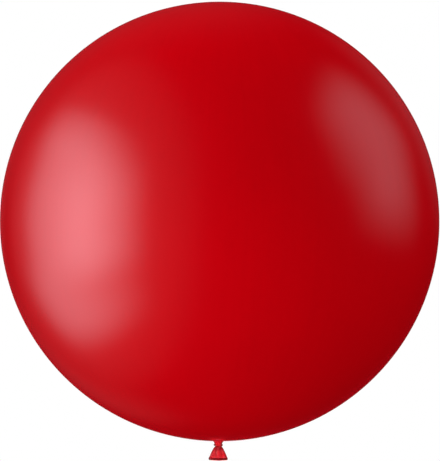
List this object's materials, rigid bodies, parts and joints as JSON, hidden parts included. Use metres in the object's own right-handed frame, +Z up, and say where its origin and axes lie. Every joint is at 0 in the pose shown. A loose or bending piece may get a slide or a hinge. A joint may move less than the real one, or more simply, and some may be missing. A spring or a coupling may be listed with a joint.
{
  "type": "giant round latex balloon, blown up and tied off",
  "caption": "Giant round red latex balloon, fully blown up, with a gathered neck, a tied knot and a flared tail that ends in a rolled lip.",
  "frame": {"origin": "centre of the blown sphere, which is its centre of lift", "axes": "+Z up from the knot to the crown, X along the long side of the tail's mouth, -Y towards the viewer of the picture"},
  "size_m": [0.8, 0.8, 0.837],
  "materials": {
    "latex_stretched": "red latex skin stretched thin, smooth, satin gloss",
    "latex_gathered": "red latex gathered into pleats and a knot, satin",
    "latex_slack": "unstretched red latex skin with fine pleats, soft satin",
    "latex_lip": "rolled bead of thick dark red latex"
  },
  "bodies": {
    "root": {"envelope": "latex_stretched", "neck": "latex_gathered", "knot": "latex_gathered", "tail": "latex_slack", "lip": "latex_lip"}
  },
  "joints": []
}
